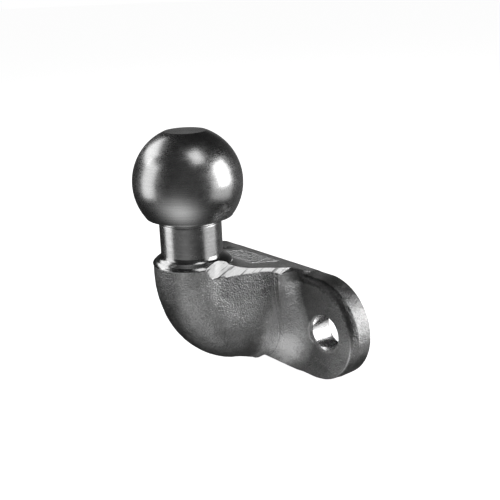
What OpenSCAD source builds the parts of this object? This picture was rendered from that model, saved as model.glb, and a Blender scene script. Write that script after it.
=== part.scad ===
// Flange tow ball: one steel forging, divided into its named sections.
// Frame: origin on the rear mounting face, midway between the bolt holes;
// X along the bolt holes, -Y towards the ball, +Z up. Millimetres.

/* [Ball] */
// Diameter of the coupling ball
ball_d = 50; // [50:0.1:50.8]
// Distance of the ball centre in front of the mounting face
ball_reach = 52; // [50:0.5:60]
// Height of the ball centre above the bolt holes
ball_rise = 72.6; // [70:0.1:76]
// Diameter of the flat turned on top of the ball
flat_d = 19; // [8:0.5:24]
// Height of the ball's lower edge below its centre
ball_skirt = 15; // [14:0.2:19]

/* [Neck and collar] */
// Diameter of the turned neck
neck_d = 28.6; // [24:0.1:29]
// Height of the neck's foot above the bolt holes
neck_foot = 40; // [38:0.5:44]
// Height of the relief line below the ball
relief_drop = 1.4; // [1:0.1:4]
// Depth of the relief line
relief_depth = 0.2; // [0.1:0.05:0.5]
// Diameter of the collar's lip
lip_d = 36.8; // [34:0.1:40]
// Diameter of the collar below the lip
collar_d = 36.2; // [33:0.1:39]
// Height of the collar's lower end above the bolt holes
collar_foot = 31; // [28:0.5:33]

/* [Flange] */
// Width over the round ends
flange_w = 126.8; // [120:0.2:136]
// Height of the plate
flange_h = 49.4; // [46:0.2:56]
// Thickness of the plate
flange_t = 11.8; // [10:0.2:18]
// Distance between the bolt holes
hole_spacing = 90; // [89.5:0.1:90.5]
// Diameter of the bolt holes
hole_d = 17.2; // [17:0.1:18]
// Width of the rounded rim at the front of each hole
hole_rim = 1.2; // [0.5:0.1:2]
// Inset of the front outline against the parting line
draft_in = 0.3; // [0.1:0.1:1.5]
// Radius of the front edge
edge_r = 0.8; // [0.4:0.1:3]
// Distance of the parting line in front of the mounting face
parting = 4.4; // [3:0.2:8]

/* [Arm] */
// Fall of the top face towards the mounting face, per millimetre
top_fall = 0.2; // [0.1:0.01:0.3]
// Half width of the arm where it meets the flange blend
arm_half_w = 22.4; // [19:0.2:26]
// Radius of the blend between arm and flange
blend_r = 8; // [4:0.5:12]
// Width of the ground edge along the top face
ground_w = 1.8; // [0.5:0.1:3]
// Half width of the top face at the mounting face
top_half_w = 30; // [26:1:36]

/* [Marking pad] */
// Width of the pad
pad_w = 27; // [16:1:30]
// Length of the pad down the slope
pad_l = 21; // [10:0.5:22]
// Sideways shift of the pad's centre
pad_shift = -4; // [-5:0.5:5]
// Distance of the pad's centre from the mounting face
pad_mid = 16.3; // [12:0.1:18]
// Turn of the pad on the sloping face
pad_turn = 5; // [-6:1:6]
// Thickness of the pad
pad_t = 0.8; // [0.5:0.1:1.5]
// Depth of the pad's face below the top face
pad_sink = 0.15; // [0:0.05:0.3]

/* [Hidden] */
$fn = 96;

ball_r = ball_d / 2;
flat_up = sqrt(pow(ball_r, 2) - pow(flat_d / 2, 2));
skirt_r = sqrt(pow(ball_r, 2) - pow(ball_skirt, 2));
neck_r = neck_d / 2;
neck_top = ball_rise - ball_skirt - 1.6;
end_r = flange_h / 2;
end_x = flange_w / 2 - end_r;
hole_r = hole_d / 2;
top_at_0 = flange_h / 2;
nose_r = collar_d / 2;

// Underside of the arm: height above the bolt holes, then front face position
UNDERSIDE = [
    [-24.4, -13], [-23.4, -19], [-22.2, -24.5], [-20, -31.5], [-17.5, -38.2],
    [-14.5, -44.3], [-11, -49.8], [-7, -54.5], [-2, -59.1], [1, -61.2],
    [4, -62.9], [7.5, -64.7], [11, -66], [18, -68.2], [25, -69.4],
    [collar_foot, -ball_reach - nose_r]
];
ARM_Z = [-24.4, -23.6, -22.6, -21.4, -20, -18.5, -17, -15.5, -14, -12.5, -11,
         -9, -7, -5, -3, -1, 1.5, 4, 7, 10, 13, 16, 19, 22];
HALF = 30;
SPLIT = (top_at_0 - collar_foot) / top_fall;

function soft(t) = let (u = max(0, min(1, t))) u * u * (3 - 2 * u);
// Height of the arm's top: the sloping face, cut level under the collar
function arm_top(y) = min(top_at_0 - top_fall * y, collar_foot);
// Blend to the flange: how far it adds to the half width at distance t
function blend(t, r) = t >= r ? 0 : r - sqrt(max(0, r * r - pow(r - t, 2)));
function body_w(y) = nose_r + (arm_half_w - nose_r) * soft((y + ball_reach - 4) / 30);

// Half width of the arm at height z and position y
function arm_half(y, z) =
    let (front = lookup(z, UNDERSIDE),
         depth = -flange_t - front,
         b = min(nose_r, 0.8 * depth),
         r = min(blend_r, 0.6 * depth),
         q = (front + b - y) / b,
         round = q <= 0 ? 1 : sqrt(max(0, 1 - q * q)),
         low = soft((z + 21.5) / 12))
    body_w(y) * round * (0.12 + 0.88 * low) + blend(-flange_t - y, r);

// Positions along one side: from the flange, past the top's break, to the tip
function ring_y(front) =
    let (depth = -flange_t - front,
         brk = min(0.8, (-flange_t - SPLIT) / depth),
         m = 12)
    [for (i = [0 : HALF])
        -flange_t - depth * (i <= m
            ? brk * (1 - cos(90 * i / m))
            : brk + (1 - brk) * sin(90 * (i - m) / (HALF - m)))];

function side_pts(z, up, trim) =
    let (ys = ring_y(lookup(min(z, collar_foot), UNDERSIDE)))
    [for (y = ys)
        let (x = max(0, arm_half(y, min(z, collar_foot))
                 - trim * ground_w * soft((y + 46) / 8) * soft((-y - 8) / 6)))
        [x, y, z + up * (arm_top(y) - z)]];

// One closed ring: right side from the flange to the tip, then back on the left
function ring(z, up = 0, trim = 0) =
    let (s = side_pts(z, up, trim))
    concat([for (i = [0 : HALF - 1]) s[i]],
           [[0, s[HALF][1], s[HALF][2]]],
           [for (i = [HALF - 1 : -1 : 0]) [-s[i][0], s[i][1], s[i][2]]]);

module loft(rings) {
    n = len(rings[0]);
    m = (n - 1) / 2;
    last = len(rings) - 1;
    polyhedron(
        points = [for (r = rings) each r],
        faces = concat(
            // ends: flat strips from side to side
            [for (i = [0 : m - 1])
                let (f = [n - 1 - i, n - 2 - i, i + 1, i])
                i == m - 1 ? [f[0], f[1], f[3]] : f],
            [for (i = [0 : m - 1])
                let (t = last * n, f = [t + i, t + i + 1, t + n - 2 - i, t + n - 1 - i])
                i == m - 1 ? [f[0], f[1], f[3]] : f],
            [for (k = [0 : last - 1], i = [0 : n - 1])
                let (j = (i + 1) % n, a = k * n, b = a + n)
                each [[a + i, b + j, b + i], [a + i, a + j, b + j]]]),
        convexity = 4);
}

module on_ball_axis() translate([0, -ball_reach, 0]) children();

module ball() color([0.42, 0.42, 0.42])
    on_ball_axis() translate([0, 0, ball_rise]) rotate_extrude($fn = 160) {
        intersection() {
            circle(ball_r, $fn = 160);
            translate([0, -ball_skirt]) square([ball_r + 1, ball_skirt + flat_up]);
        }
        polygon([[0, -ball_skirt - 1.6], [neck_r, -ball_skirt - 1.6],
                 [neck_r + 0.6, -ball_skirt - 1.2], [skirt_r - 0.6, -ball_skirt - 0.3],
                 [skirt_r, -ball_skirt], [0, -ball_skirt + 1]]);
    }

module neck() color([0.55, 0.55, 0.55])
    on_ball_axis() rotate_extrude()
        polygon([[0, neck_foot], [neck_r, neck_foot],
                 [neck_r, neck_top - relief_drop - 0.4],
                 [neck_r - relief_depth, neck_top - relief_drop - 0.15],
                 [neck_r - relief_depth, neck_top - relief_drop + 0.15],
                 [neck_r, neck_top - relief_drop + 0.4],
                 [neck_r, neck_top], [0, neck_top]]);

module collar() color([0.5, 0.5, 0.5])
    on_ball_axis() rotate_extrude() {
        lip_r = lip_d / 2;
        // concave sweep from the neck, rolled over into the lip
        polygon(concat([[0, collar_foot], [nose_r, collar_foot], [nose_r, 34.3]],
            [for (a = [-20 : 10 : 60])
                [lip_r - 1.5 + 1.5 * cos(a), neck_foot - 4.8 + 1.5 * sin(a)]],
            [for (a = [245 : -10.9 : 180])
                [neck_r + 2.6 + 2.6 * cos(a), neck_foot + 2.6 * sin(a)]],
            [[neck_r, neck_foot], [0, neck_foot]]));
    }

module arm() color([0.45, 0.45, 0.45]) difference() {
    loft(concat([for (z = ARM_Z) ring(z)],
                [ring(22, 0.3), ring(22, 0.62), ring(22, 1, 1)]));
    pad_box(pad_t + 0.2, 5);
}

module plate() {
    back_r = end_r;
    front_r = end_r - draft_in;
    prof = concat([[0, 0], [back_r, 0], [back_r, parting]],
        [for (a = [0 : 15 : 90])
            [front_r - edge_r + edge_r * cos(a), flange_t - edge_r + edge_r * sin(a)]],
        [[0, flange_t]]);
    for (s = [-1, 1]) translate([s * end_x, 0, 0])
        rotate([90, 0, 0]) rotate_extrude($fn = 160) polygon(prof);
    rotate([90, 0, 90]) translate([0, 0, -end_x]) linear_extrude(2 * end_x)
        polygon(concat([for (p = prof) [-p[1], p[0]]],
                       [for (i = [len(prof) - 1 : -1 : 0]) [-prof[i][1], -prof[i][0]]]));
}

// The part of the sloping top face that runs out over the plate
module runout() intersection() {
    rotate([90, 0, 90]) translate([0, 0, -40]) linear_extrude(80)
        polygon([[0, top_at_0 - 3], [0, top_at_0],
                 [-flange_t, top_at_0 + top_fall * flange_t],
                 [-flange_t, top_at_0 - 3]]);
    edge = arm_half_w;
    translate([0, 0, top_at_0 - 4]) linear_extrude(10)
        polygon([[top_half_w, 0.1], [edge + 2, -flange_t * 0.55], [edge, -flange_t - 0.1],
                 [-edge, -flange_t - 0.1], [-edge - 2, -flange_t * 0.55],
                 [-top_half_w, 0.1]]);
}

module bolt_hole() rotate([90, 0, 0]) {
    translate([0, 0, -1]) cylinder(r = hole_r, h = flange_t + 2);
    translate([0, 0, -0.01]) cylinder(r1 = hole_r + 0.35, r2 = hole_r, h = 0.36);
    translate([0, 0, flange_t - hole_rim])
        cylinder(r1 = hole_r, r2 = hole_r + hole_rim, h = hole_rim + 0.01);
}

module flange() color([0.48, 0.48, 0.48]) difference() {
    union() {
        plate();
        runout();
    }
    for (s = [-1, 1]) translate([s * hole_spacing / 2, 0, 0]) bolt_hole();
    pad_box(pad_t + 0.2, 5);
}

// Box on the pad's outline, from a depth below the top face to a height over it
module pad_box(down, up)
    translate([0, 0, top_at_0]) rotate([-atan(top_fall), 0, 0])
        translate([pad_shift, -pad_mid, -down]) rotate([0, 0, pad_turn])
            translate([-pad_w / 2, -pad_l / 2, 0]) cube([pad_w, pad_l, down + up]);

module marking_pad() color([0.6, 0.6, 0.6]) pad_box(pad_t + 0.2, -pad_sink);

ball();
neck();
collar();
arm();
flange();
marking_pad();
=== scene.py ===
"""Flange tow ball: looks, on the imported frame."""
import math
import bmesh
import bpy
import numpy as np
from mathutils import Matrix, Vector


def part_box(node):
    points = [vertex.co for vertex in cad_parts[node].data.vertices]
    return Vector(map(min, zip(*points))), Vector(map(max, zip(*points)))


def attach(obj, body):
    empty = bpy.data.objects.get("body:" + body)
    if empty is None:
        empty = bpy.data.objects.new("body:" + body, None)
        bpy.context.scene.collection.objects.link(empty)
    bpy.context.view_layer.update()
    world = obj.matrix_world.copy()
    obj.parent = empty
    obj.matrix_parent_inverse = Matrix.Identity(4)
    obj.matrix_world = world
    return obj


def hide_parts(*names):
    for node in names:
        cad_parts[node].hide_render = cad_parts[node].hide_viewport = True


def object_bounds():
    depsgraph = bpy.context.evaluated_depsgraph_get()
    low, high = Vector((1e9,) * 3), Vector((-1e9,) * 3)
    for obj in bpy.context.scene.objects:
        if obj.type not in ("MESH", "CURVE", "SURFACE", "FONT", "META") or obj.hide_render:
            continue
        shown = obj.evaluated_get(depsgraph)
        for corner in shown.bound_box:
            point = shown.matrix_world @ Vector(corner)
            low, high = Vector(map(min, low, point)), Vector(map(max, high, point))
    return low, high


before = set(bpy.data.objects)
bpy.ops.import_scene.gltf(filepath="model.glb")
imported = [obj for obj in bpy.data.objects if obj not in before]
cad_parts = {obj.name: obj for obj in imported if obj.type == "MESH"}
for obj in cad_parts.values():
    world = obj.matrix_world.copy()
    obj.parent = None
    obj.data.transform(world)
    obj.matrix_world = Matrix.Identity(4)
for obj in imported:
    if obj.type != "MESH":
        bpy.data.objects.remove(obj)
CAD_LO, CAD_HI = [list(v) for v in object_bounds()]
MM = 0.001

# ---------------------------------------------------------------- sizes, in mm, from the CAD boxes
fl_lo, fl_hi = [np.array(v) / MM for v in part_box("flange")]
nk_lo, nk_hi = [np.array(v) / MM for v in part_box("neck")]
bl_lo, bl_hi = [np.array(v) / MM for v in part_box("ball")]
cl_lo, cl_hi = [np.array(v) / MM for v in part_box("collar")]
T = -fl_lo[1]                        # plate thickness
R_END = -fl_lo[2]                    # half height of the plate
X_END = fl_hi[0] - R_END             # centre of each round end
AXIS_Y = (nk_lo[1] + nk_hi[1]) / 2   # the ball's upright axis
NECK_R = (nk_hi[0] - nk_lo[0]) / 2
BALL_R = 25.0
FLAT_R = 9.5
BALL_Z = bl_hi[2] - math.sqrt(BALL_R ** 2 - FLAT_R ** 2)
NECK_TOP = nk_hi[2]
SEAT = cl_lo[2]
HOLE_X, HOLE_R = 45.0, 8.6
FALL = 0.2                           # slope of the top face
SPLIT = -21.0                        # where the arm piece meets the flange piece
YC, ZC, RY, RZ = -25.1, 30.9, 45.0, 50.1   # the bend of the arm's underside
COLLAR_Z = 35.15                     # the turned lip starts here, above the forged skin
SPIGOT = 16.5


# ---------------------------------------------------------------- small numeric helpers
def soft(t):
    t = np.clip(t, 0, 1)
    return t * t * (3 - 2 * t)


def join(a, b, r):
    return np.maximum(r, np.minimum(a, b)) - np.hypot(np.maximum(r - a, 0), np.maximum(r - b, 0))


def meet(a, b, r):
    return -join(-a, -b, r)


def lattice(seed, n=24):
    return np.random.default_rng(seed).random((n, n, n)) * 2 - 1


def noise(p, size, g):
    n = g.shape[0]
    q = p / size + 7.37
    i = np.floor(q).astype(np.int64)
    f = q - i
    f = f * f * (3 - 2 * f)
    i %= n
    j = (i + 1) % n
    x0, y0, z0 = i.T
    x1, y1, z1 = j.T
    fx, fy, fz = f.T
    a = g[x0, y0, z0] * (1 - fx) + g[x1, y0, z0] * fx
    b = g[x0, y1, z0] * (1 - fx) + g[x1, y1, z0] * fx
    c = g[x0, y0, z1] * (1 - fx) + g[x1, y0, z1] * fx
    d = g[x0, y1, z1] * (1 - fx) + g[x1, y1, z1] * fx
    return (a * (1 - fy) + b * fy) * (1 - fz) + (c * (1 - fy) + d * fy) * fz


# ---------------------------------------------------------------- the forging as one field
def plate(x, y, z):
    ax = np.abs(x)
    px = np.maximum(ax - X_END, 0)
    out = np.where(ax > X_END, np.hypot(px, z), np.abs(z)) - R_END
    side = np.clip(px / R_END, 0, 1) ** 2
    part = -np.interp(ax, [20, 35, 43, 51, 57, 63.4], [2.9, 4.2, 5.3, 7.1, 8.3, 7.8])
    w = np.clip((part - y) / (part + T), 0, 1)
    out = out + (0.12 + 1.1 * side) * w
    out = out + 0.04 - 0.10 * np.exp(-((y - part) / 0.3) ** 2)
    d = meet(out, -T - y, 0.8 + 2.0 * soft((z + 6) / 18) * soft((ax - 14) / 20))
    return meet(d, y, 0.2)


def arm(x, y, z):
    z = np.where(z < ZC, ZC - (ZC - z) * RZ / (RZ + 4.6 * soft((y + 34) / 20)), z)
    u = np.minimum(y - YC, 0) / RY
    v = np.minimum(z - ZC, 0) / RZ
    rho = np.maximum(np.hypot(u, v), 1e-6)
    dist = np.hypot(u * RY, v * RZ)
    depth = np.where(rho > 2e-6, dist / rho - dist, RZ)
    t = v * v / (rho * rho)
    b = 18.1 + 2.5 * t
    a = np.interp(y, [-52, -48, -44, -38, -33, -27, -23, -19, -16, -13, -10],
                  [18.1, 18.25, 18.6, 19.2, 19.7, 20.35, 20.9, 21.8, 23.0, 24.6, 26.6])
    a = a + 0.5 * soft((29 - z) / 18) * soft((y + 50) / 16)
    a = a + 4.0 * soft((y + 32) / 18) * soft((20 - z) / 24)
    up = np.maximum(1 - depth / b, 0)
    s = np.abs(x) / a
    big = np.maximum(np.hypot(s, up), 1e-6)
    return (big - 1) * big / np.maximum(np.hypot(s / a, up / b), 1e-6)


def bore(x, y, z):
    f = np.clip(T + y, 0, 1.2)
    k = np.clip(-y, 0, 0.35)
    r = HOLE_R + np.where(y < -T / 2,
                          1.2 - np.sqrt(np.maximum(1.44 - (1.2 - f) ** 2, 0)),
                          0.35 - np.sqrt(np.maximum(0.1225 - (0.35 - k) ** 2, 0)))
    return np.hypot(np.abs(x) - HOLE_X, z) - r


def pad_axes(x, y, z):
    c, s = math.cos(math.radians(5)), math.sin(math.radians(5))
    px = x + 4.0
    py = (y + 16.3) * math.hypot(1, FALL)
    return c * px + s * py, -s * px + c * py, (z - R_END + FALL * y) / math.hypot(1, FALL)


def body(x, y, z):
    r = np.hypot(x, y - AXIS_Y)
    d = join(arm(x, y, z), plate(x, y, z), 5.5 + 6.0 * soft((24 - z) / 40))
    keel = np.interp(y, [-70, -54.5, -49.8, -44.3, -38.2, -31.5, -24.5, -19, -13, -11.8],
                     [1.0, -7.0, -11.0, -14.5, -17.5, -20.0, -22.2, -23.4, -24.4, -24.7])
    run = soft((0.6308 * np.abs(x) + 0.776 * y + 14.5) / 7) * (y < -T)
    keel = keel + run * np.maximum(-R_END - 0.72 * (T + y) - keel, 0)
    d = np.maximum(d, (keel - z) * 0.85)
    # sloping top face, with the turned cone round the collar
    top = (z - R_END + FALL * y) / math.hypot(1, FALL)
    cone = (z - 35.3 + (r - 18.35) * 0.95) * 0.725
    d = meet(d, join(top, cone, 2.6), 0.25)
    # ground flats along both top edges
    g = (np.abs(x) - ground_x(y, z)) * 0.93
    d = np.maximum(d, np.minimum(g, np.minimum((-10.8 - y - 4 * (26.9 - z)) * 0.24, z - 24.0)))
    d = np.maximum(d, y)
    d = np.maximum(d, -bore(x, y, z))
    # seat of the collar
    deep = np.where(y < -40, 1.0 - g / 0.93 - 2.0, 1.0) * 0.7
    d = np.maximum(d, np.minimum(np.minimum(SPIGOT + 0.1 - r, z - SEAT), deep))
    d = np.maximum(d, np.minimum(np.minimum(18.0 - r, z - COLLAR_Z), deep))
    # pocket of the marking pad
    a, b, h = pad_axes(x, y, z)
    d = np.maximum(d, -np.maximum(np.maximum(np.abs(a) - 13.75, np.abs(b) - 10.75), -0.35 - h))
    return d


def ground_x(y, z):
    """Where the hand-ground flat lies: along the top edge, then round the side of the collar."""
    edge = 32.49 + 0.071 * y - 0.36 * z
    side = 16.19 - 0.123 * y - 0.161 * z
    k = soft((y + 56) / 10)
    x = side + (edge - side) * k
    low = 18.2 + 0.5 * soft((y + 50) / 8) - 1.2 * np.maximum(0, z - 30.5)
    return np.maximum(x, low - 3 * np.maximum(0, y + 47))


def surface(f, lo, hi, h):
    """Quads on f = 0 inside a box, with sharp edges kept."""
    lo = np.array(lo, float)
    n = np.ceil((np.array(hi) - lo) / h).astype(int) + 1
    ax = [lo[k] + h * np.arange(n[k]) for k in range(3)]
    val = np.empty(n, np.float32)
    for i in range(0, n[0], 16):
        g = np.meshgrid(ax[0][i:i + 16], ax[1], ax[2], indexing="ij")
        val[i:i + 16] = f(*g)
    inside = val < 0
    cells, pts, nrm, quads = [], [], [], []
    e = 0.01
    for k in range(3):
        a, b = (k + 1) % 3, (k + 2) % 3
        s0 = [slice(None)] * 3
        s1 = [slice(None)] * 3
        s0[k], s1[k] = slice(0, -1), slice(1, None)
        cut = inside[tuple(s0)] != inside[tuple(s1)]
        idx = np.argwhere(cut)
        ok = (idx[:, a] > 0) & (idx[:, a] < n[a] - 1) & (idx[:, b] > 0) & (idx[:, b] < n[b] - 1)
        idx = idx[ok]
        nxt = idx.copy()
        nxt[:, k] += 1
        v0 = val[tuple(idx.T)].astype(float)
        v1 = val[tuple(nxt.T)].astype(float)
        t0, t1 = np.zeros(len(idx)), np.ones(len(idx))
        base = lo + h * idx
        for _ in range(5):
            t = np.clip(t0 + (t1 - t0) * v0 / (v0 - v1), t0 + 0.02 * (t1 - t0), t1 - 0.02 * (t1 - t0))
            p = base.copy()
            p[:, k] += t * h
            v = f(*p.T)
            same = (v < 0) == (v0 < 0)
            t0, v0 = np.where(same, t, t0), np.where(same, v, v0)
            t1, v1 = np.where(same, t1, t), np.where(same, v1, v)
        t = t0 + (t1 - t0) * np.clip(v0 / np.where(v0 == v1, 1, v0 - v1), 0, 1)
        p = base.copy()
        p[:, k] += t * h
        gr = np.stack([f(*(p + np.eye(3)[m] * e).T) - f(*(p - np.eye(3)[m] * e).T)
                       for m in range(3)], 1)
        gr /= np.maximum(np.linalg.norm(gr, axis=1), 1e-9)[:, None]
        ring = []
        for da, db in ((-1, -1), (0, -1), (0, 0), (-1, 0)):
            c = idx.copy()
            c[:, a] += da
            c[:, b] += db
            cid = (c[:, 0] * n[1] + c[:, 1]) * n[2] + c[:, 2]
            ring.append(cid)
            cells.append(cid)
            pts.append(p)
            nrm.append(gr)
        q = np.stack(ring, 1)
        flip = ~inside[tuple(idx.T)]
        q[flip] = q[flip][:, ::-1]
        quads.append(q)
    cells, pts, nrm = np.concatenate(cells), np.concatenate(pts), np.concatenate(nrm)
    quads = np.concatenate(quads)
    uniq, inv = np.unique(cells, return_inverse=True)
    m = len(uniq)
    cnt = np.bincount(inv, minlength=m).astype(float)
    mass = np.stack([np.bincount(inv, pts[:, k], m) for k in range(3)], 1) / cnt[:, None]
    rel = ((pts - mass[inv]) * nrm).sum(1)
    ata = np.empty((m, 3, 3))
    atb = np.empty((m, 3))
    for i in range(3):
        atb[:, i] = np.bincount(inv, nrm[:, i] * rel, m)
        for j in range(i, 3):
            ata[:, i, j] = ata[:, j, i] = np.bincount(inv, nrm[:, i] * nrm[:, j], m)
    ata += np.eye(3) * 0.03
    x = mass + np.linalg.solve(ata, atb[:, :, None])[:, :, 0]
    c = np.stack([uniq // (n[1] * n[2]), uniq // n[2] % n[1], uniq % n[2]], 1)
    low = lo + h * c
    x = np.clip(x, low, low + h)
    return x, np.searchsorted(uniq, quads)


def new_mesh(name, verts, faces, mats, origin=(0, 0, 0)):
    me = bpy.data.meshes.new(name)
    verts = np.asarray(verts, np.float32)
    faces = np.asarray(faces, np.int32)
    me.vertices.add(len(verts))
    me.vertices.foreach_set("co", ((verts - np.array(origin)) * MM).astype(np.float32).ravel())
    k = faces.shape[1]
    me.loops.add(faces.size)
    me.loops.foreach_set("vertex_index", faces.ravel())
    me.polygons.add(len(faces))
    me.polygons.foreach_set("loop_start", np.arange(0, faces.size, k, dtype=np.int32))
    me.update(calc_edges=True)
    me.validate()
    for m in mats:
        me.materials.append(m)
    ob = bpy.data.objects.new(name, me)
    bpy.context.scene.collection.objects.link(ob)
    ob.location = Vector(origin) * MM
    return ob


def smooth(ob, angle):
    me = ob.data
    me.polygons.foreach_set("use_smooth", [True] * len(me.polygons))
    me.set_sharp_from_angle(angle=math.radians(angle))
    me.update()


# ---------------------------------------------------------------- materials
def steel(name, base, rough, build, metallic=1.0, aniso=0.0):
    m = bpy.data.materials.new(name)
    m.use_nodes = True
    nt = m.node_tree
    nt.nodes.clear()
    out = nt.nodes.new("ShaderNodeOutputMaterial")
    sh = nt.nodes.new("ShaderNodeBsdfPrincipled")
    nt.links.new(sh.outputs[0], out.inputs[0])
    sh.inputs["Metallic"].default_value = metallic
    sh.inputs["Base Color"].default_value = (*base, 1)
    sh.inputs["Roughness"].default_value = rough
    sh.inputs["Anisotropic"].default_value = aniso
    build(nt, sh)
    return m


class N:
    """Short forms for node building."""

    def __init__(self, nt):
        self.nt = nt

    def add(self, kind, **props):
        n = self.nt.nodes.new("ShaderNode" + kind)
        for k, v in props.items():
            setattr(n, k, v)
        return n

    def put(self, socket, value):
        if hasattr(value, "is_output") or isinstance(value, bpy.types.NodeSocket):
            self.nt.links.new(value, socket)
        else:
            socket.default_value = value

    def coord(self):
        return self.add("TexCoord").outputs["Object"]

    def map(self, vec, scale=(1, 1, 1), rot=(0, 0, 0), loc=(0, 0, 0)):
        n = self.add("Mapping")
        self.put(n.inputs["Vector"], vec)
        n.inputs["Scale"].default_value = scale
        n.inputs["Rotation"].default_value = rot
        n.inputs["Location"].default_value = loc
        return n.outputs[0]

    def noise(self, vec, scale, detail=3.0, rough=0.55):
        n = self.add("TexNoise")
        self.put(n.inputs["Vector"], vec)
        n.inputs["Scale"].default_value = scale
        n.inputs["Detail"].default_value = detail
        n.inputs["Roughness"].default_value = rough
        return n.outputs["Fac"]

    def voronoi(self, vec, scale):
        n = self.add("TexVoronoi")
        self.put(n.inputs["Vector"], vec)
        n.inputs["Scale"].default_value = scale
        return n.outputs["Distance"]

    def math(self, op, a, b=0.0, c=None):
        n = self.add("Math", operation=op)
        self.put(n.inputs[0], a)
        self.put(n.inputs[1], b)
        if c is not None:
            self.put(n.inputs[2], c)
        return n.outputs[0]

    def range(self, v, a, b, c, d):
        n = self.add("MapRange")
        self.put(n.inputs["Value"], v)
        for k, x in zip(("From Min", "From Max", "To Min", "To Max"), (a, b, c, d)):
            n.inputs[k].default_value = x
        return n.outputs[0]

    def mix(self, fac, a, b):
        n = self.add("Mix", data_type="RGBA")
        self.put(n.inputs[0], fac)
        n.inputs[6].default_value = (*a, 1) if len(a) == 3 else a
        n.inputs[7].default_value = (*b, 1) if len(b) == 3 else b
        return n.outputs[2]

    def bump(self, height, dist, strength=1.0, normal=None):
        n = self.add("Bump")
        n.inputs["Strength"].default_value = strength
        n.inputs["Distance"].default_value = dist
        self.put(n.inputs["Height"], height)
        if normal is not None:
            self.put(n.inputs["Normal"], normal)
        return n.outputs[0]

    def polar(self, vec):
        """Object coordinates as (radius, angle, height) about the piece's own axis."""
        s = self.add("SeparateXYZ")
        self.put(s.inputs[0], vec)
        ang = self.math("ARCTAN2", s.outputs[1], s.outputs[0])
        rad = self.math("SQRT", self.math("ADD", self.math("MULTIPLY", s.outputs[0], s.outputs[0]),
                                          self.math("MULTIPLY", s.outputs[1], s.outputs[1])))
        c = self.add("CombineXYZ")
        self.put(c.inputs[0], rad)
        self.put(c.inputs[1], ang)
        self.put(c.inputs[2], s.outputs[2])
        return c.outputs[0]


def turned(depth, lo, hi, r_lo, r_hi, shift=0.0, tangent=True):
    """Lathe finish: fine rings round the ball's axis."""
    def build(nt, sh):
        n = N(nt)
        co = n.coord()
        pol = n.polar(n.map(co, loc=(0, shift, 0)) if shift else co)
        fine = n.noise(n.map(pol, (5200, 0.6, 5200)), 1.0, 2.0)
        band = n.noise(n.map(pol, (900, 1.2, 900)), 1.0, 2.0)
        spots = n.noise(co, 420, 4.0, 0.65)
        tone = n.math("MULTIPLY_ADD", band, 0.45, n.math("MULTIPLY", spots, 0.55))
        n.put(sh.inputs["Base Color"], n.mix(n.range(tone, 0.36, 0.64, 0, 1), lo, hi))
        mixed = n.math("ADD", n.math("MULTIPLY", fine, 0.5), n.math("MULTIPLY", spots, 0.5))
        n.put(sh.inputs["Roughness"], n.range(mixed, 0.35, 0.65, r_lo, r_hi))
        b1 = n.bump(band, depth * 1.5 * MM, 0.5)
        b2 = n.bump(fine, depth * MM, 0.7, b1)
        b3 = n.bump(spots, depth * 2.0 * MM, 0.25, b2)
        n.put(sh.inputs["Normal"], b3)
        if tangent:
            tan = n.add("Tangent", direction_type="RADIAL", axis="Z")
            nt.links.new(tan.outputs[0], sh.inputs["Tangent"])
    return build


def blasted(nt, sh):
    """Shot-blasted forged skin: grain, pits, broad cloudiness and drag marks."""
    n = N(nt)
    co = n.coord()
    grain = n.noise(co, 1350, 3.0, 0.7)
    pits = n.voronoi(co, 1200)
    mottle = n.noise(co, 210, 4.0, 0.6)
    cloud = n.noise(co, 45, 3.0, 0.5)
    drag = n.noise(n.map(n.map(co, rot=(-0.62, 0, 0)), (300, 330, 1700)), 1.0, 2.0, 0.55)
    tone = n.math("ADD", n.math("MULTIPLY", mottle, 0.3),
                  n.math("ADD", n.math("MULTIPLY", grain, 0.5), n.math("MULTIPLY", cloud, 0.2)))
    # the per-vertex skin attribute scales this colour by painted highlights and painted shade
    skin = n.add("Attribute")
    skin.attribute_name = "skin"
    n.put(sh.inputs["Base Color"], n.math("MULTIPLY", n.range(tone, 0.38, 0.62, 0.72, 1.44), skin.outputs["Fac"]))
    n.put(sh.inputs["Roughness"], n.range(mottle, 0.35, 0.65, 0.33, 0.44))
    b1 = n.bump(mottle, 0.34 * MM, 0.6)
    b2 = n.bump(pits, 0.24 * MM, 0.6, b1)
    b3 = n.bump(drag, 0.24 * MM, 0.6, b2)
    b4 = n.bump(grain, 0.40 * MM, 0.7, b3)
    n.put(sh.inputs["Normal"], b4)


def ground(nt, sh):
    """Hand-ground flat: slanting grinder marks."""
    n = N(nt)
    co = n.coord()
    along = n.map(co, rot=(-0.38, 0, 0))
    line = n.noise(n.map(along, (200, 130, 1500)), 1.0, 3.0, 0.6)
    deep = n.noise(n.map(along, (100, 60, 900)), 1.0, 2.0, 0.5)
    fine = n.noise(co, 1100, 3.0, 0.6)
    cut = n.range(deep, 0.36, 0.46, 0, 1)
    n.put(sh.inputs["Base Color"], n.mix(n.math("MULTIPLY", cut, n.range(line, 0.3, 0.6, 0.6, 1)), (0.13, 0.13, 0.13), (0.47, 0.47, 0.47)))
    n.put(sh.inputs["Roughness"], n.range(line, 0.3, 0.7, 0.42, 0.55))
    b1 = n.bump(deep, 0.12 * MM, 0.5)
    b2 = n.bump(fine, 0.10 * MM, 0.5, n.bump(line, 0.08 * MM, 0.5, b1))
    n.put(sh.inputs["Normal"], b2)


def milled(nt, sh):
    n = N(nt)
    co = n.coord()
    ring = n.noise(n.map(co, (1400, 90, 240)), 1.0, 2.0, 0.5)
    spots = n.noise(co, 300, 3.0, 0.6)
    n.put(sh.inputs["Base Color"], n.mix(n.range(spots, 0.35, 0.65, 0, 1), (0.42, 0.42, 0.42), (0.60, 0.60, 0.60)))
    n.put(sh.inputs["Roughness"], n.range(spots, 0.35, 0.65, 0.28, 0.38))
    n.put(sh.inputs["Normal"], n.bump(ring, 0.08 * MM, 0.5))


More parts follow.
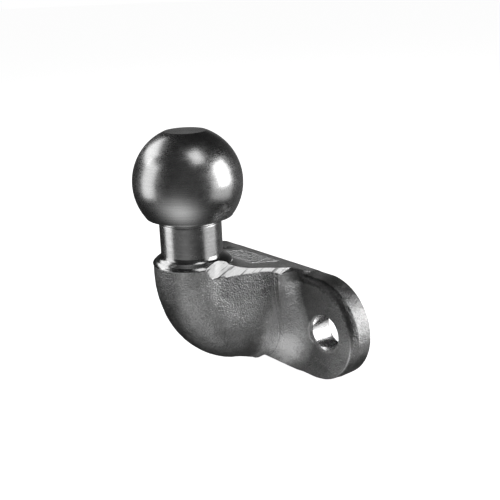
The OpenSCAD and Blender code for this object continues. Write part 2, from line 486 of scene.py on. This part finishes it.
def drilled(nt, sh):
    n = N(nt)
    co = n.coord()
    ring = n.noise(n.map(co, (120, 1500, 120)), 1.0, 2.0, 0.5)
    chat = n.noise(n.map(co, (500, 160, 500)), 1.0, 3.0, 0.6)
    n.put(sh.inputs["Base Color"], n.mix(n.range(chat, 0.35, 0.65, 0, 1), (0.68, 0.68, 0.68), (0.95, 0.95, 0.95)))
    n.put(sh.inputs["Roughness"], n.range(chat, 0.35, 0.65, 0.2, 0.34))
    b1 = n.bump(ring, 0.10 * MM, 0.5)
    n.put(sh.inputs["Normal"], n.bump(chat, 0.16 * MM, 0.5, b1))


def stamped(nt, sh):
    n = N(nt)
    co = n.coord()
    line = n.noise(n.map(n.map(co, rot=(0, 0, -0.087)), (180, 2000, 900)), 1.0, 3.0, 0.6)
    spots = n.noise(co, 500, 3.0, 0.6)
    n.put(sh.inputs["Base Color"], n.mix(n.range(spots, 0.35, 0.65, 0, 1), (0.40, 0.40, 0.40), (0.74, 0.74, 0.74)))
    n.put(sh.inputs["Roughness"], n.range(line, 0.35, 0.65, 0.36, 0.5))
    b1 = n.bump(line, 0.06 * MM, 0.5)
    n.put(sh.inputs["Normal"], n.bump(spots, 0.12 * MM, 0.4, b1))


M_BALL = steel("turned_ball", (0.5,) * 3, 0.28, turned(0.012, (0.40,) * 3, (0.47,) * 3, 0.23, 0.31), aniso=0.3)
M_NECK = steel("turned_neck", (0.5,) * 3, 0.3, turned(0.012, (0.44,) * 3, (0.56,) * 3, 0.21, 0.28), aniso=0.2)
M_COLL = steel("turned_collar", (0.5,) * 3, 0.22, turned(0.006, (0.34,) * 3, (0.44,) * 3, 0.15, 0.22))
M_CONE = steel("turned_cone", (0.5,) * 3, 0.3, turned(0.012, (0.46,) * 3, (0.58,) * 3, 0.28, 0.38, 0.052, False))
M_FORGE = steel("blasted_forging", (0.5,) * 3, 0.5, blasted)
M_GROUND = steel("ground_steel", (0.5,) * 3, 0.45, ground)
M_MILL = steel("milled_steel", (0.5,) * 3, 0.33, milled)
M_DRILL = steel("drilled_steel", (0.75,) * 3, 0.27, drilled)
M_PAD = steel("stamped_steel", (0.5,) * 3, 0.43, stamped)


# ---------------------------------------------------------------- turned pieces
def arc(cx, cz, r, a0, a1, n):
    t = np.radians(np.linspace(a0, a1, n))
    return [(cx + r * math.cos(k), cz + r * math.sin(k)) for k in t]


def lathe(name, profile, seg, mat, angle=35):
    """A closed solid of revolution about the ball's axis, from a profile (r, z) that starts and ends on it."""
    prof = [p for p in profile if p[0] > 1e-6]
    th = np.linspace(0, 2 * math.pi, seg, endpoint=False)
    r = np.array([p[0] for p in prof])
    z = np.array([p[1] for p in prof])
    v = np.stack([r[:, None] * np.cos(th), AXIS_Y + r[:, None] * np.sin(th),
                  np.repeat(z[:, None], seg, 1)], -1).reshape(-1, 3)
    k = len(prof)
    i, j = np.meshgrid(np.arange(k - 1), np.arange(seg), indexing="ij")
    i, j = i.ravel(), j.ravel()
    jn = (j + 1) % seg
    quads = np.stack([i * seg + j, i * seg + jn, (i + 1) * seg + jn, (i + 1) * seg + j], 1)
    ob = new_mesh(name, v, quads, [mat], (0, AXIS_Y, 0))
    bm = bmesh.new()
    bm.from_mesh(ob.data)
    bm.verts.ensure_lookup_table()
    low = [bm.verts[m] for m in range(seg)]
    high = [bm.verts[(k - 1) * seg + m] for m in range(seg)]
    for rim, zz, up in ((low, profile[0][1], False), (high, profile[-1][1], True)):
        mid = bm.verts.new((0, 0, zz * MM))
        for m in range(seg):
            a, b = rim[m], rim[(m + 1) % seg]
            bm.faces.new((mid, a, b) if up else (mid, b, a))
    bmesh.ops.recalc_face_normals(bm, faces=bm.faces)
    bm.to_mesh(ob.data)
    bm.free()
    smooth(ob, angle)
    return ob


z_sk = NECK_TOP + 1.6
r_sk = math.sqrt(BALL_R ** 2 - (z_sk - BALL_Z) ** 2)
sk = math.degrees(math.asin((z_sk - BALL_Z) / BALL_R))
tp = math.degrees(math.asin((bl_hi[2] - BALL_Z) / BALL_R))
under = [(r_sk, z_sk), (r_sk - 0.06, z_sk - 0.18), (r_sk - 0.25, z_sk - 0.36), (r_sk - 0.7, z_sk - 0.5),
         (NECK_R + 1.4, NECK_TOP + 0.5), (NECK_R + 0.6, NECK_TOP + 0.3), (NECK_R, NECK_TOP)]
ball_prof = ([(0, NECK_TOP), (NECK_R * 0.5, NECK_TOP)] + under[::-1][0:] +
             arc(0, BALL_Z, BALL_R, sk + 0.6, tp - 0.4, 150) +
             [(FLAT_R + 0.02, bl_hi[2] - 0.03), (FLAT_R - 0.12, bl_hi[2])] +
             [(r, bl_hi[2]) for r in (8.6, 7, 5, 3, 1.6)] +
             [(0, bl_hi[2])])
ball = lathe("ball_turned", ball_prof, 320, M_BALL, 30)

zr = NECK_TOP - 1.4
foot = cl_hi[2]
neck_prof = [(0, foot), (NECK_R * 0.5, foot), (NECK_R, foot)]
neck_prof += [(NECK_R, z) for z in np.linspace(foot + 0.6, zr - 0.9, 14)]
neck_prof += [(NECK_R, zr - 0.3), (NECK_R - 0.06, zr - 0.12), (NECK_R - 0.2, zr + 0.08), (NECK_R - 0.34, zr + 0.2),
              (NECK_R - 0.38, zr + 0.45), (NECK_R - 0.36, NECK_TOP - 0.35), (NECK_R - 0.2, NECK_TOP),
              (NECK_R * 0.5, NECK_TOP), (0, NECK_TOP)]
neck = lathe("neck_turned", neck_prof, 256, M_NECK, 40)

marks = np.array([(18.05, COLLAR_Z), (18.28, 35.3), (18.3, 35.5), (18.1, 35.85), (17.7, 36.35), (17.0, 36.98), (16.0, 37.62),
                  (15.2, 38.25), (14.65, 39.0), (14.4, 39.6), (NECK_R, foot)])
step = np.concatenate([[0], np.cumsum(np.hypot(*np.diff(marks, axis=0).T))])


def spline(t, k):
    """Smooth curve through the collar's measured points."""
    d = np.diff(marks[:, k]) / np.diff(step)
    m = np.concatenate([[d[0]], (d[1:] + d[:-1]) / 2, [d[-1]]])
    i = np.clip(np.searchsorted(step, t) - 1, 0, len(d) - 1)
    h = step[i + 1] - step[i]
    u = (t - step[i]) / h
    return ((2 * u ** 3 - 3 * u ** 2 + 1) * marks[i, k] + (u ** 3 - 2 * u ** 2 + u) * h * m[i] +
            (3 * u ** 2 - 2 * u ** 3) * marks[i + 1, k] + (u ** 3 - u ** 2) * h * m[i + 1])


coll_prof = [(0, SEAT), (9, SEAT), (SPIGOT, SEAT), (SPIGOT, COLLAR_Z)]
coll_prof += [(float(spline(t, 0)), float(spline(t, 1))) for t in np.linspace(0, step[-1], 56)]
coll_prof += [(NECK_R * 0.5, foot), (0, foot)]
collar = lathe("collar_turned", coll_prof, 640, M_COLL, 40)


def grind(ob):
    """Presses the sides of a turned piece back to the ground flat."""
    me = ob.data
    v = np.empty(len(me.vertices) * 3, np.float32)
    me.vertices.foreach_get("co", v)
    v = v.reshape(-1, 3).astype(float) / MM + np.array(ob.location) / MM
    lim = ground_x(v[:, 1], v[:, 2]) - 0.04
    hit = (np.abs(v[:, 0]) > lim) & (v[:, 1] < -40)
    v[hit, 0] = np.sign(v[hit, 0]) * lim[hit]
    me.vertices.foreach_set("co", ((v - np.array(ob.location) / MM) * MM).astype(np.float32).ravel())
    me.materials.append(M_GROUND)
    idx = [1 if all(hit[k] for k in f.vertices) else 0 for f in me.polygons]
    me.polygons.foreach_set("material_index", idx)
    me.update()
    me.set_sharp_from_angle(angle=math.radians(30))


grind(collar)


# ---------------------------------------------------------------- forged pieces
G1, G2, G3 = lattice(11), lattice(12), lattice(13)
BOX_LO = np.array(CAD_LO) / MM + 0.002
BOX_HI = np.array(CAD_HI) / MM - 0.002
BOX_HI[1] = CAD_HI[1] / MM


def forged(name, lo, hi, h, part):
    v, q = surface(part, lo, hi, h)
    # face kinds, before the skin's unevenness
    c = v[q].mean(1)
    nv = np.cross(v[q[:, 2]] - v[q[:, 0]], v[q[:, 3]] - v[q[:, 1]])
    nv /= np.maximum(np.linalg.norm(nv, axis=1), 1e-12)[:, None]
    flat = ((np.abs(np.abs(c[:, 0]) - ground_x(c[:, 1], c[:, 2])) < 0.12) & (c[:, 1] < -9) & (c[:, 2] > 24) &
            (nv[:, 2] > 0.06) & (np.abs(nv[:, 0]) > 0.5))
    hole = (np.abs(np.hypot(np.abs(c[:, 0]) - HOLE_X, c[:, 2]) - HOLE_R) < 0.3) & (np.abs(nv[:, 1]) < 0.45) & (c[:, 1] > -T - 0.2)
    rear = (c[:, 1] > -0.06) & (nv[:, 1] > 0.9)
    rc = np.hypot(c[:, 0], c[:, 1] - AXIS_Y)
    cone = (rc < 22.8) & (np.abs((c[:, 2] - 35.3 + (rc - 18.35) * 0.95) * 0.725) < 0.1) & (nv[:, 2] > 0.4)
    kind = np.zeros(len(q), np.int32)
    kind[flat] = 1
    kind[hole] = 2
    kind[rear] = 3
    kind[cone] = 4
    # vertex normals, and how much of the forged skin's unevenness each vertex takes
    vn = np.zeros_like(v)
    for k in range(4):
        for m in range(3):
            vn[:, m] += np.bincount(q[:, k], nv[:, m], len(v))
    vn /= np.maximum(np.linalg.norm(vn, axis=1), 1e-12)[:, None]
    made = np.zeros(len(v))
    for k in range(4):
        made = np.maximum(made, np.bincount(q[:, k], (kind > 0).astype(float), len(v)) > 0)
    amt = 1.0 - made
    amt = amt * np.clip(-v[:, 1] / 0.8, 0, 1)
    amt = amt * np.clip(np.abs(v[:, 1] - SPLIT) / 0.05, 0, 1)
    swell = 0.10 * noise(v, 9.0, G1) + 0.06 * noise(v, 2.6, G2) + 0.035 * noise(v, 1.0, G3)
    v = v + vn * (amt * (swell - 0.04))[:, None]
    v = np.clip(v, BOX_LO, BOX_HI)
    ob = new_mesh(name, v, q, [M_FORGE, M_GROUND, M_DRILL, M_MILL, M_CONE])
    # per-vertex painted highlights and painted shade, stored in the skin attribute
    at = ob.data.attributes.new("skin", "FLOAT", "POINT")
    at.data.foreach_set("value", painted_light_and_shade(v, vn).astype(np.float32))
    ob.data.polygons.foreach_set("material_index", kind)
    smooth(ob, 32)
    return ob


def painted_light_and_shade(v, n):
    """How light the forged skin's colour is made: painted highlights on the fillet between arm and flange, the
    lower outer flange face and the top faces; painted shade along the flange's rounded front edge, on the arm's
    side walls, downward faces, the flange face and the rim.
    """
    x, y, z = v.T
    ax = np.abs(x)
    px = np.maximum(ax - X_END, 0)
    out = np.where(ax > X_END, np.hypot(px, z), np.abs(z)) - R_END
    rag = noise(v, 1.3, G2) * 0.9 + noise(v, 0.6, G3) * 0.5
    # painted shade: darkens a band along the flange's rounded front edge by up to 80 %, with a ragged noisy border
    edge = soft((out + 4.4 + rag) / 2.0) * soft((-y - (T - 4.2) + 0.5 * rag) / 1.4) * soft((z + 7) / 16) * soft((ax - 18) / 10)
    # painted highlight: lightens the fillet between the arm's side wall and the flange face
    painted_blend_highlight = soft((np.minimum(np.abs(n[:, 0]) + 0.05, -n[:, 1]) - 0.14) / 0.3) * soft((-y - T + 0.4) / 0.8) * soft((y + 24.5 + 6 * soft((22 - z) / 20)) / 5) * (z < 27)
    # painted shade: darkens a band on the arm's side walls near the flange
    painted_valley_shade = soft((np.abs(n[:, 0]) - 0.75) / 0.15) * soft((y + 30) / 5) * soft((-15 - y) / 3)
    # painted shade: darkens faces that point downward
    painted_underside_shade = soft((-n[:, 2] - 0.15) / 0.6)
    # painted shade: darkens the upper part of the arm's side walls
    high = soft((z - 10) / 12) * soft((y + 56) / 10) * soft((-17 - y) / 4) * soft((np.abs(n[:, 0]) - 0.6) / 0.3)
    t = 1.0 - 0.80 * edge
    t *= 1.0 + 1.5 * painted_blend_highlight
    t *= 1.0 - 0.22 * painted_valley_shade * (1 - painted_blend_highlight)
    t *= 1.0 - 0.45 * painted_underside_shade
    t *= 1.0 - 0.45 * high
    # painted shade: darkens the flange's front face, away from the edge band
    t *= 1.0 - 0.58 * soft((-n[:, 1] - 0.75) / 0.2) * (y < -T + 0.7) * (1 - edge)
    # painted shade: darkens the front, downward-facing underside of the arm's bend
    t *= 1.0 - 0.25 * soft((-n[:, 1] - 0.45) / 0.3) * soft((-0.05 - n[:, 2]) / 0.3) * (y < -26)
    # painted light: lightens the lower outer ends of the flange's front face
    t *= 1.0 + 0.80 * soft((ax - 42) / 16) * soft((-n[:, 1] - 0.7) / 0.2) * soft((12 - z) / 16) * (1 - edge)
    # painted shade: darkens the flange's rim wall, most where it faces upward
    rim = soft((ax - 34) / 8) * soft((0.3 + n[:, 1]) / 0.2) * (y < -0.3)
    t *= 1.0 - 0.12 * rim
    t *= 1.0 - 0.45 * rim * soft((n[:, 2] - 0.45) / 0.35)
    # painted light: lightens upward-facing faces such as the top face
    t *= 1.0 + 0.25 * soft((n[:, 2] - 0.8) / 0.15) * (y < -0.5)
    return t * 0.5


coarse = 1.0
arm_ob = forged("arm_forged", (-30, -71.5, -26), (30, SPLIT + 0.8, 36.4), 0.40 * coarse,
                lambda x, y, z: np.maximum(body(x, y, z), y - SPLIT))
flange_ob = forged("flange_forged", (-64.6, SPLIT - 0.8, -26), (64.6, 0.9, 31.5), 0.46 * coarse,
                   lambda x, y, z: np.maximum(body(x, y, z), SPLIT - y))


# ---------------------------------------------------------------- marking pad with generic marks
def pad_point(a, b, h):
    c, s = math.cos(math.radians(5)), math.sin(math.radians(5))
    k = math.hypot(1, FALL)
    px, py = c * a - s * b, s * a + c * b
    x = px - 4.0
    y = -16.3 + py / k
    z = R_END - FALL * y + h * k
    return np.array([x, y + h * 0.0, z])


def make_pad():
    bm = bmesh.new()

    def block(a0, a1, b0, b1, h0, h1, bev):
        vs = []
        rings = [(0.0, h0), (0.0, h1 - bev), (bev, h1)]
        for inset, h in rings:
            vs.append([bm.verts.new(Vector(pad_point(a, b, h)) * MM) for a, b in
                       ((a0 + inset, b0 + inset), (a1 - inset, b0 + inset), (a1 - inset, b1 - inset), (a0 + inset, b1 - inset))])
        bm.faces.new(vs[0][::-1])
        bm.faces.new(vs[-1])
        for r in range(2):
            for m in range(4):
                n = (m + 1) % 4
                bm.faces.new((vs[r][m], vs[r][n], vs[r + 1][n], vs[r + 1][m]))

    block(-13.5, 13.5, -10.5, 10.5, -1.0, -0.02, 0.25)
    rng = np.random.default_rng(5)
    # a raised border and rows of short bars, which stand for the stamped data
    for a0, a1, b0, b1 in ((-12.6, 12.6, 9.2, 9.5), (-12.6, 12.6, -9.5, -9.2), (-12.6, -12.3, -9.5, 9.5), (12.3, 12.6, -9.5, 9.5)):
        block(a0, a1, b0, b1, -0.1, 0.16, 0.08)
    for row, b in enumerate((6.6, 3.3, 0.0, -3.3, -6.6)):
        a = -11.0
        while a < 10.4:
            w = float(rng.choice([0.45, 0.7, 1.0]))
            if rng.random() > 0.22:
                block(a, a + w, b - 0.8, b + 0.8, -0.1, 0.15, 0.1)
            a += w + 0.5
    me = bpy.data.meshes.new("marking_pad_stamped")
    bmesh.ops.recalc_face_normals(bm, faces=bm.faces)
    bm.to_mesh(me)
    bm.free()
    me.materials.append(M_PAD)
    ob = bpy.data.objects.new("marking_pad_stamped", me)
    bpy.context.scene.collection.objects.link(ob)
    return ob


pad = make_pad()

# ---------------------------------------------------------------- what stands for what
for ob, node, slot in ((ball, "ball", "turned_ball"), (neck, "neck", "turned_neck"), (collar, "collar", "turned_collar"),
                       (arm_ob, "arm", "forged_arm"), (flange_ob, "flange", "forged_flange"), (pad, "marking_pad", "stamped_pad")):
    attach(ob, "root")
    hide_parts(node)

# ---------------------------------------------------------------- floor, lights, world, camera
floor_z = fl_lo[2] * MM
bm = bmesh.new()
bmesh.ops.create_circle(bm, cap_ends=True, radius=9.0, segments=96)
me = bpy.data.meshes.new("floor")
bm.to_mesh(me)
bm.free()
floor = bpy.data.objects.new("floor", me)
floor.location = (0, 0, floor_z)
bpy.context.scene.collection.objects.link(floor)
fm = bpy.data.materials.new("pale_floor")
fm.use_nodes = True
nt = fm.node_tree
nt.nodes.clear()
n = N(nt)
dif = n.add("BsdfDiffuse")
dif.inputs[0].default_value = (0.92, 0.92, 0.92, 1)
emi = n.add("Emission")
emi.inputs[0].default_value = (1, 1, 1, 1)
emi.inputs[1].default_value = 0.95
add = n.add("AddShader")
nt.links.new(dif.outputs[0], add.inputs[0])
nt.links.new(emi.outputs[0], add.inputs[1])
clear = n.add("BsdfTransparent")
back = n.add("NewGeometry").outputs["Backfacing"]
mx = n.add("MixShader")
nt.links.new(back, mx.inputs[0])
nt.links.new(add.outputs[0], mx.inputs[1])
nt.links.new(clear.outputs[0], mx.inputs[2])
out = n.add("OutputMaterial")
nt.links.new(mx.outputs[0], out.inputs[0])
me.materials.append(fm)
floor.visible_glossy = False
floor.visible_shadow = False


def softbox(name, az, el, dist, w, h, power, aim=(0, -0.045, 0.04), shade=1.0):
    a, e = math.radians(az), math.radians(el)
    d = Vector((math.cos(a) * math.cos(e), math.sin(a) * math.cos(e), math.sin(e)))
    li = bpy.data.lights.new(name, "AREA")
    li.shape = "RECTANGLE"
    li.size, li.size_y = w, h
    li.energy = power
    li.color = (shade,) * 3
    ob = bpy.data.objects.new(name, li)
    ob.location = Vector(aim) + d * dist
    ob.rotation_mode = "QUATERNION"
    ob.rotation_quaternion = d.to_track_quat("Z", "Y")
    bpy.context.scene.collection.objects.link(ob)
    ob.visible_camera = False
    return ob


def panel(name, az, el, w, h, radiance, dist=0.9):
    softbox(name, az, el, dist, w, h, radiance * math.pi * w * h)


panel("right_core", 44, 15, 0.50, 0.64, 4.2)
panel("right_wide", 38, 0, 0.86, 0.90, 0.85)
panel("left_box", -124, 8, 0.54, 0.92, 1.8)
panel("left_high", -158, 36, 0.62, 0.42, 2.2)
panel("top_box", 0, 60, 0.32, 0.42, 2.0)

w = bpy.data.worlds.new("studio")
bpy.context.scene.world = w
w.use_nodes = True
nt = w.node_tree
nt.nodes.clear()
n = N(nt)
lp = n.add("LightPath")
seen = n.add("Background")
seen.inputs[0].default_value = (1, 1, 1, 1)
seen.inputs[1].default_value = 1.0
lit = n.add("Background")
way = n.add("TexCoord").outputs["Generated"]
tone = None
# soft glows in the room: azimuth, elevation, tightness, strength
for az, el, k, amp in ((-36, 12, 4.0, 0.06), (-58, -53, 11.0, 1.05), (-100, -38, 14.0, 0.20), (-58, -14, 30.0, 0.05), (140, 3, 36.0, 0.24), (112, -22, 7.0, 0.12)):
    a, e = math.radians(az), math.radians(el)
    dot = n.add("VectorMath", operation="DOT_PRODUCT")
    nt.links.new(way, dot.inputs[0])
    dot.inputs[1].default_value = (math.cos(a) * math.cos(e), math.sin(a) * math.cos(e), math.sin(e))
    g = n.math("MULTIPLY", n.math("EXPONENT", n.math("MULTIPLY_ADD", dot.outputs["Value"], k, -k)), amp)
    tone = g if tone is None else n.math("ADD", tone, g)
nt.links.new(n.math("ADD", tone, 0.018), lit.inputs[0])
lit.inputs[1].default_value = 1.0
mx = n.add("MixShader")
nt.links.new(lp.outputs["Is Camera Ray"], mx.inputs[0])
nt.links.new(lit.outputs[0], mx.inputs[1])
nt.links.new(seen.outputs[0], mx.inputs[2])
out = n.add("OutputWorld")
nt.links.new(mx.outputs[0], out.inputs[0])

yaw, pitch, roll = math.radians(50.89), math.radians(17.48), math.radians(-2.25)
fwd = Vector((-math.sin(yaw) * math.cos(pitch), math.cos(yaw) * math.cos(pitch), -math.sin(pitch)))
right = Vector((math.cos(yaw), math.sin(yaw), 0))
up = right.cross(fwd)
r2 = right * math.cos(roll) + up * math.sin(roll)
u2 = up * math.cos(roll) - right * math.sin(roll)
cam = bpy.data.cameras.new("camera")
cam.sensor_width = 36
cam.lens = 856.41 * 36 / 500
cam.shift_x, cam.shift_y = -0.001, 0.001
cam.clip_start, cam.clip_end = 0.01, 50
co = bpy.data.objects.new("camera", cam)
bpy.context.scene.collection.objects.link(co)
m = Matrix((r2, u2, -fwd)).transposed().to_4x4()
m.translation = Vector((309.87, -269.15, 157.80)) * MM
co.matrix_world = m
bpy.context.scene.camera = co
bpy.context.scene.view_settings.view_transform = "Standard"
